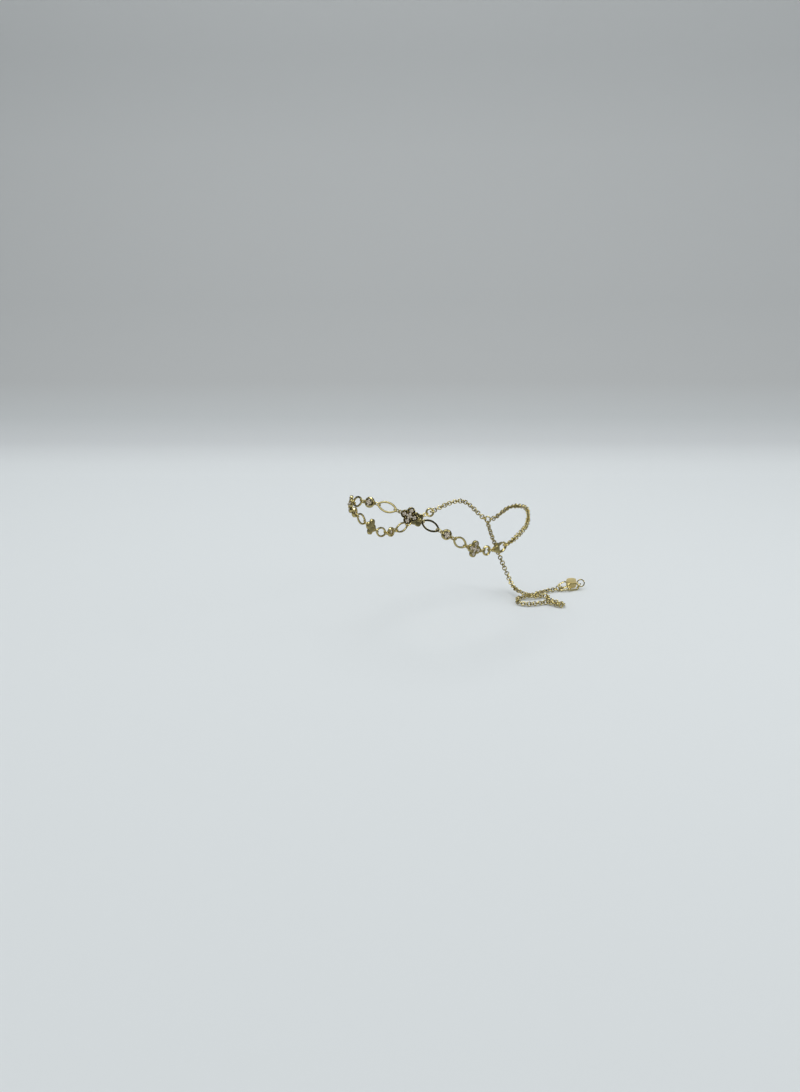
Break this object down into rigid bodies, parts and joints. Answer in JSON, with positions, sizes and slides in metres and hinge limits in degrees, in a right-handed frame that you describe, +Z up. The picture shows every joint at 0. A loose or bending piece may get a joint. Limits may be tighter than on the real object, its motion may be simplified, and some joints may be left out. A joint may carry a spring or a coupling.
{
  "type": "anklet",
  "caption": "Gold anklet of clover, almond and round stone links with a lobster clasp, a fine chain behind and a loose end with links and a bare tag.",
  "frame": {"origin": "the point on the ankle's axis at the middle of the loop, where the ankle holds the anklet up", "axes": "+Z up along the ankle, +Y towards the heel, +X towards the outer side of a left ankle, where the clasp sits"},
  "size_m": [0.068, 0.1303, 0.0673],
  "materials": {
    "gold": "polished pale yellow gold plate",
    "satin_gold": "satin pale yellow gold plate",
    "clear_stone": "clear faceted crystal"
  },
  "bodies": {
    "anklet": {"clover_1": "gold", "clover_2": "gold", "clover_3": "gold", "clover_4": "gold", "clover_5": "gold", "marquise_1": "gold", "marquise_2": "gold", "marquise_3": "gold", "marquise_4": "gold", "marquise_5": "gold", "marquise_6": "gold", "marquise_7": "gold", "marquise_8": "gold", "bezel_1": "gold", "bezel_2": "gold", "bezel_3": "gold", "bezel_4": "gold", "connector_1": "gold", "connector_2": "gold", "connector_3": "gold", "connector_4": "gold", "connector_5": "gold", "connector_6": "gold", "connector_7": "gold", "connector_8": "gold", "connector_9": "gold", "connector_10": "gold", "connector_11": "gold", "connector_12": "gold", "connector_13": "gold", "connector_14": "gold", "connector_15": "gold", "connector_16": "gold", "connector_17": "gold", "connector_18": "gold", "inner_ring": "gold", "outer_ring": "gold", "jump_ring": "gold", "clasp_body": "gold", "chain_ring": "gold", "back_ring": "gold", "outer_chain": "gold", "inner_chain": "gold", "tail_chain": "gold", "tail_ring": "gold", "end_link_1": "gold", "end_link_2": "gold", "end_link_3": "gold", "tag_link": "gold", "tag_ring": "gold", "round_stone_1": "clear_stone", "round_stone_2": "clear_stone", "round_stone_3": "clear_stone", "round_stone_4": "clear_stone", "tag": "satin_gold"},
    "clasp_lever": {"clasp_lever": "gold"}
  },
  "joints": [
    {"name": "clasp_lever_pivot", "type": "hinge", "parent": "anklet", "child": "clasp_lever", "pos_m": [0.0312, 0.00206, -0.00294], "axis": [-0.995, 0.0994, 0.0065], "range_deg": [0, 24], "stiffness_Nm_per_rad": 0.00002, "springref_deg": -11.46}
  ]
}
